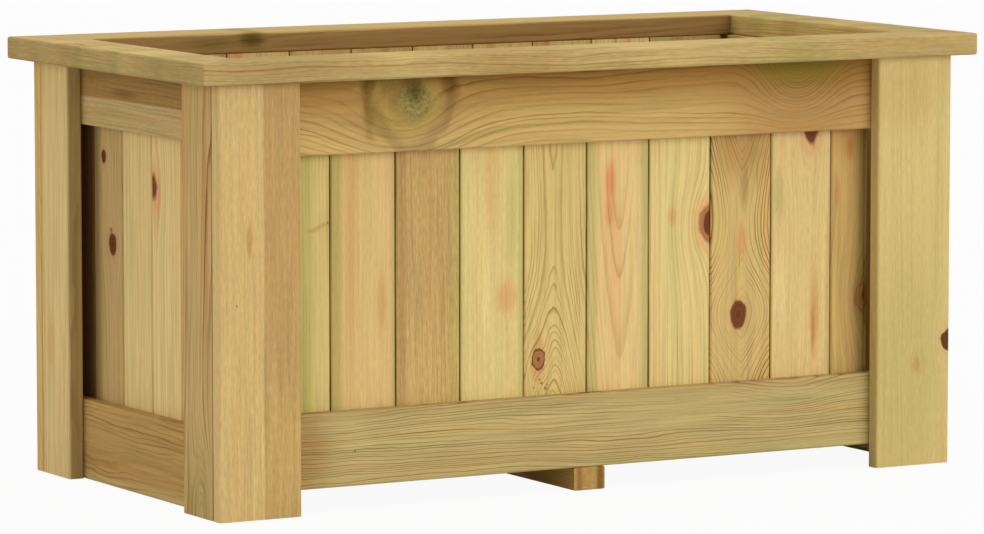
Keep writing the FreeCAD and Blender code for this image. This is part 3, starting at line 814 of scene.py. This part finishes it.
def set_on_points(pattern, taken, shape, spin):
    """Ends a tree: the shape on every point, facing the point's way out, with a spin of its own."""
    outward = pattern.add("GeometryNodeInputNamedAttribute", {"Name": "outward"}, data_type="FLOAT_VECTOR")
    facing = pattern.add("FunctionNodeAlignRotationToVector", {"Vector": outward.outputs[0]}, axis="Z")
    spins = {0: (0, 0, -spin), 1: (0, 0, spin), "Seed": SPIN_SEED}
    spun = pattern.add("FunctionNodeRandomValue", spins, data_type="FLOAT_VECTOR").outputs[0]
    ways = {"Rotation": facing.outputs[0], "Rotate By": spun}
    turned = pattern.add("FunctionNodeRotateRotation", ways, rotation_space="LOCAL").outputs[0]
    placing = {"Points": taken["Points"], "Instance": shape, "Rotation": turned}
    placed = pattern.add("GeometryNodeInstanceOnPoints", placing).outputs[0]
    real = pattern.add("GeometryNodeRealizeInstances", {"Geometry": placed}).outputs[0]
    painting = {"Geometry": real, "Material": taken["Metal"]}
    painted = pattern.add("GeometryNodeSetMaterial", painting).outputs[0]
    leaving = pattern.tree.nodes.new("NodeGroupOutput")
    pattern.tree.links.new(painted, leaving.inputs["Pieces"])
    return pattern.tree


HEAD_RADIUS = 4 * MM
HEAD_HEIGHT = 2.4 * MM
CORE_RADIUS = 1.45 * MM
THREAD_RISE = 0.45 * MM
THREAD_PITCH = 2.2 * MM
THREAD_STEPS = 10
THREAD_SIDES = 3
TIP_LENGTH = 5 * MM
TIP_RADIUS = 0.145 * MM
CROSS_SIZE = (4.6 * MM, 1.1 * MM, 2.8 * MM)
SCREW_SIDES = 16
SCREW_SPIN = math.pi


def make_screws():
    """Wood screws: a countersunk head with a cross cut in it, a core with a thread wound on it, a tip."""
    pattern, taken = point_tree("wood_screws", "Length")
    rounding = {"Vertices": SCREW_SIDES}
    head_cone = {"Radius Top": HEAD_RADIUS, "Radius Bottom": CORE_RADIUS, "Depth": HEAD_HEIGHT}
    head = pattern.add("GeometryNodeMeshCone", {**rounding, **head_cone}).outputs["Mesh"]
    slot = pattern.add("GeometryNodeMeshCube", {"Size": CROSS_SIZE}).outputs["Mesh"]
    cross = joined(pattern, slot, moved(pattern, slot, 0, math.pi / 2))
    cutting = {"Mesh 1": moved(pattern, head, -HEAD_HEIGHT), "Mesh 2": cross}
    cut = pattern.add("GeometryNodeMeshBoolean", cutting, operation="DIFFERENCE", solver="EXACT")
    head = cut.outputs["Mesh"]
    core_length = pattern.maths("SUBTRACT", taken["Length"], HEAD_HEIGHT + TIP_LENGTH)
    core_size = {"Radius": CORE_RADIUS, "Depth": core_length}
    core = pattern.add("GeometryNodeMeshCylinder", {**rounding, **core_size}).outputs["Mesh"]
    core = moved(pattern, core, pattern.maths("MULTIPLY_ADD", core_length, -0.5, -HEAD_HEIGHT))
    tip_cone = {"Radius Top": CORE_RADIUS, "Radius Bottom": TIP_RADIUS, "Depth": TIP_LENGTH}
    tip = pattern.add("GeometryNodeMeshCone", {**rounding, **tip_cone}).outputs["Mesh"]
    foot = pattern.maths("MULTIPLY", taken["Length"], -1)
    turns = pattern.maths("DIVIDE", core_length, THREAD_PITCH)
    coil = {"Resolution": THREAD_STEPS, "Rotations": turns, "Height": core_length}
    coil.update({"Start Radius": CORE_RADIUS, "End Radius": CORE_RADIUS})
    helix = pattern.add("GeometryNodeCurveSpiral", coil).outputs[0]
    section = {"Resolution": THREAD_SIDES, "Radius": THREAD_RISE}
    edge = pattern.add("GeometryNodeCurvePrimitiveCircle", section).outputs[0]
    thread = pattern.add("GeometryNodeCurveToMesh", {"Curve": helix, "Profile Curve": edge}).outputs[0]
    thread = moved(pattern, thread, pattern.maths("ADD", foot, TIP_LENGTH))
    screw = joined(pattern, head, core, moved(pattern, tip, foot), thread)
    return set_on_points(pattern, taken, screw, SCREW_SPIN)


CROWN_HALF = 5 * MM
CROWN_RISE = 0.8 * MM
CROWN_STEPS = 8
LEG_DEPTH = 2 * MM
WIRE_SIDES = 5
STAPLE_SPIN = 0.2


def make_staples():
    """Staples: a round wire bent into an arch with both legs in the wood."""
    pattern, taken = point_tree("staples", "Wire")
    feet = {"Start": (-CROWN_HALF, 0, -LEG_DEPTH), "End": (CROWN_HALF, 0, -LEG_DEPTH)}
    tops = {"Start Handle": (-CROWN_HALF, 0, CROWN_RISE), "End Handle": (CROWN_HALF, 0, CROWN_RISE)}
    arch = {"Resolution": CROWN_STEPS, **feet, **tops}
    crown = pattern.add("GeometryNodeCurvePrimitiveBezierSegment", arch).outputs[0]
    section = {"Resolution": WIRE_SIDES, "Radius": taken["Wire"]}
    edge = pattern.add("GeometryNodeCurvePrimitiveCircle", section).outputs[0]
    wire = pattern.add("GeometryNodeCurveToMesh", {"Curve": crown, "Profile Curve": edge}).outputs[0]
    return set_on_points(pattern, taken, wire, STAPLE_SPIN)


def grown(name, tree, spots, **values):
    """Runs a point tree over places in the wood, each with its way out, and keeps a plain mesh."""
    points = bpy.data.meshes.new(name)
    points.from_pydata([place for place, _ in spots], [], [])
    ways_out = points.attributes.new("outward", "FLOAT_VECTOR", "POINT")
    for entry, (_, way_out) in zip(ways_out.data, spots):
        entry.vector = way_out
    piece = bpy.data.objects.new(name, points)
    bpy.context.scene.collection.objects.link(piece)
    run = piece.modifiers.new(name, "NODES")
    run.node_group = tree
    for socket in tree.interface.items_tree:
        if socket.in_out == "INPUT" and socket.name in values:
            run[socket.identifier] = values[socket.name]
    state = bpy.context.evaluated_depsgraph_get()
    made = bpy.data.meshes.new_from_object(piece.evaluated_get(state), depsgraph=state)
    piece.modifiers.clear()
    piece.data = made
    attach(piece, "root")
    return piece


def on_inner_face(board, wall, along, height):
    """A point on the face of a board that looks into the bed."""
    near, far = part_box(board)
    depth_axis = 0 if wall in ("left", "right") else 1
    place = Vector((along, along, height))
    place[depth_axis] = min(near[depth_axis], far[depth_axis], key=abs)
    return place


def middle_of_lap(first, second, axis):
    """Where two boards that lie on each other share their middle, along one axis."""
    low = max(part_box(first)[0][axis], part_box(second)[0][axis])
    high = min(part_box(first)[1][axis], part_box(second)[1][axis])
    return (low + high) / 2


WALL_POSTS = {
    "front": ("post_front_left_face", "post_front_right_face"),
    "back": ("post_back_left_face", "post_back_right_face"),
    "left": ("post_front_left_side", "post_back_left_side"),
    "right": ("post_front_right_side", "post_back_right_side"),
}
SCREW_MARGIN = 20 * MM
RAIL_SCREW_LENGTH = 27.5 * MM
SLAT_SCREW_LENGTH = 24.5 * MM
STAPLE_WIRE = 0.5 * MM
STAPLE_SHARES = (0.3, 0.62)
STAPLE_DRIFT = 8
rail_spots = []
staple_spots = []
for wall, posts in WALL_POSTS.items():
    inward = -OUTWARD[wall]
    long_axis = 1 if wall in ("left", "right") else 0
    planks = [name for name in nodes if name.startswith(f"plank_{wall}_")]
    for level in ("bottom", "top"):
        rail = f"rail_{wall}_{level}"
        low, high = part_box(rail)
        for post in posts:
            along = middle_of_lap(rail, post, long_axis)
            for height in (low.z + SCREW_MARGIN, high.z - SCREW_MARGIN):
                rail_spots.append((on_inner_face(rail, wall, along, height), inward))
        for plank in planks:
            near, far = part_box(plank)
            for share in STAPLE_SHARES:
                along = near[long_axis] + (far[long_axis] - near[long_axis]) * share
                height = (low.z + high.z) / 2 + chance.uniform(-STAPLE_DRIFT, STAPLE_DRIFT) * MM
                staple_spots.append((on_inner_face(plank, wall, along, height), inward))
slat_spots = []
for slat in SLATS:
    low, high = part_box(slat)
    for bearer in ("end_ledger_left", "centre_batten", "end_ledger_right"):
        slat_spots.append(((middle_of_lap(slat, bearer, 0), (low.y + high.y) / 2, high.z), UP))
screws = make_screws()
rail_screws = grown("rail_screws", screws, rail_spots, Length=RAIL_SCREW_LENGTH, Metal=zinc)
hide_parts("post_screws")
slat_screws = grown("slat_screws", screws, slat_spots, Length=SLAT_SCREW_LENGTH, Metal=zinc)
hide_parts("floor_screws")
grown("plank_staples", make_staples(), staple_spots, Wire=STAPLE_WIRE, Metal=zinc)

# Rim. Four planed boards with rounded edges, mitred at the corners and laid flat on the posts and rails.
# Dowels in the tops of the posts hold them.
pine("rim_dowels", "front", UP, shade(206, 172, 122), ring_depth=0.3, spacing=3)
RIM_DEPTH = 500
RIM_EDGE = 33
RIM_REACH = 60
PATCH_COUNT = 8
PATCH_SPREAD = (-0.5, 0.5)
PATCH_LENGTHS = (8, 40)
PATCH_TINTS = (GREEN, BROWN, PALE, DULL)


def rim_patch(along, half_length, tint, share=0.5):
    """A soft patch of another tone right across a rim board."""
    return stain(along, 0, half_length, RIM_REACH, tint, share)


def any_patches():
    """Patches scattered along a short rim board."""
    found = []
    for _ in range(PATCH_COUNT):
        along = RIM_DEPTH * chance.uniform(*PATCH_SPREAD)
        half_length = chance.uniform(*PATCH_LENGTHS)
        found.append(rim_patch(along, half_length, chance.choice(PATCH_TINTS)))
    return found


pine(
    "rim_front", "top", EAST, shade(195, 166, 107), spacing=3.6, ring_depth=0.7, pith=(0, -30, 90), waver=14,
    fleck=0.5,
    stains=[
        rim_patch(-400, 130, DULL, 1), rim_patch(-262, 30, PALE, 0.9), rim_patch(-120, 90, BROWN),
        rim_patch(80, 60, PALE), rim_patch(260, 50, GREEN), rim_patch(420, 120, DULL),
    ],
)
# A dull band on its outer side face, darker than its top, is painted shade.
pine(
    "rim_left", "top", NORTH, shade(198, 170, 110), spacing=3.6, ring_depth=0.65, pith=(0, 30, 90), waver=14,
    fleck=0.5, stains=any_patches() + [rim_patch(-180, 70, GREEN, 0.35), band(RIM_EDGE, 4, DULL, 1)],
)
# The face that looks into the bed is darker than its pale top: brown heartwood, and painted shade.
pine(
    "rim_back", "front", EAST, shade(152, 119, 70), shade(192, 164, 103), heart_edge=10, heart_fade=1.5,
    spacing=4, ring_depth=0.6, pith=(0, 40, 80),
    stains=[stain(-219, 4, 20, 10, MOSS, 1), stain(-270, 0, 40, 8, GREEN)],
)
# The face that looks into the bed is paler than the top and outer face: painted light on that face.
pine(
    "rim_right", "top", NORTH, shade(182, 157, 95), shade(202, 172, 106),
    heart_edge=RIM_EDGE - 2, heart_fade=1.5, spacing=3.6, ring_depth=0.6, pith=(0, 30, 90),
    fleck=0.4, stains=any_patches(),
)

# Stage. A plain white floor that keeps the bed's shadow, a white dome of light, a wide lamp overhead, a soft
# one from the front right and a weaker one from the left, a little behind.
FLOOR_HALF = 60
FLOOR_GREY = (0.6, 0.6, 0.6, 1)
FLOOR_GLOW = 0.94
WHITE = (1, 1, 1, 1)
floor_mesh = bpy.data.meshes.new("floor")
floor_corners = [(-1, -1), (1, -1), (1, 1), (-1, 1)]
floor_mesh.from_pydata([(x * FLOOR_HALF, y * FLOOR_HALF, 0) for x, y in floor_corners], [], [(0, 1, 2, 3)])
floor = bpy.data.objects.new("floor", floor_mesh)
bpy.context.scene.collection.objects.link(floor)


def seen_white(pattern):
    """One for rays from the camera, off a gloss or through glass, and nought for those that only light."""
    path = pattern.add("ShaderNodeLightPath", {}).outputs
    bent = pattern.maths("MAXIMUM", path["Is Glossy Ray"], path["Is Transmission Ray"])
    return pattern.maths("MAXIMUM", path["Is Camera Ray"], bent)


floor_paint = bpy.data.materials.new("white_floor")
floor_paint.use_nodes = True
floor_paint.node_tree.nodes.clear()
pattern = Pattern(floor_paint.node_tree)
matt = pattern.add("ShaderNodeBsdfDiffuse", {"Color": FLOOR_GREY}).outputs[0]
bright = pattern.add("ShaderNodeEmission", {"Color": WHITE, "Strength": 1}).outputs[0]
seen = pattern.maths("MULTIPLY", seen_white(pattern), FLOOR_GLOW)
mixed = pattern.add("ShaderNodeMixShader", {0: seen, 1: matt, 2: bright}).outputs[0]
pattern.add("ShaderNodeOutputMaterial", {"Surface": mixed})
floor_mesh.materials.append(floor_paint)

DOME_LIGHT = 0.48
world = bpy.data.worlds.new("studio")
bpy.context.scene.world = world
world.use_nodes = True
world.node_tree.nodes.clear()
pattern = Pattern(world.node_tree)
strength = pattern.maths("MULTIPLY_ADD", seen_white(pattern), 1 - DOME_LIGHT, DOME_LIGHT)
dome = pattern.add("ShaderNodeBackground", {"Color": WHITE, "Strength": strength}).outputs[0]
pattern.add("ShaderNodeOutputWorld", {"Surface": dome})

LAMPS = {
    "top_lamp": {"energy": 1.3, "softness": 60, "height": 90, "from_front": 0},
    "front_lamp": {"energy": 1.73, "softness": 45, "height": 10, "from_front": 22},
    "left_lamp": {"energy": 0.9, "softness": 35, "height": 12, "from_front": -108},
}
for name, lamp_way in LAMPS.items():
    lamp_data = bpy.data.lights.new(name, "SUN")
    lamp_data.energy = lamp_way["energy"]
    lamp_data.angle = math.radians(lamp_way["softness"])
    lamp = bpy.data.objects.new(name, lamp_data)
    lamp.rotation_euler = (math.radians(90 - lamp_way["height"]), 0, math.radians(lamp_way["from_front"]))
    bpy.context.scene.collection.objects.link(lamp)

# The camera stands where the edges of the bed in the photograph put it.
CAMERA_SPOT = (-3.2279, -5.6828, 0.9415)
CAMERA_HEADING = 29.571
CAMERA_DIP = 6.199
CAMERA_LENS = 208.51
CAMERA_SENSOR = 36
camera_data = bpy.data.cameras.new("camera")
camera_data.sensor_width = CAMERA_SENSOR
camera_data.lens = CAMERA_LENS
camera = bpy.data.objects.new("camera", camera_data)
camera.location = CAMERA_SPOT
camera.rotation_euler = (math.radians(90 - CAMERA_DIP), 0, math.radians(-CAMERA_HEADING))
bpy.context.scene.collection.objects.link(camera)
bpy.context.scene.camera = camera
bpy.context.scene.view_settings.view_transform = "Standard"
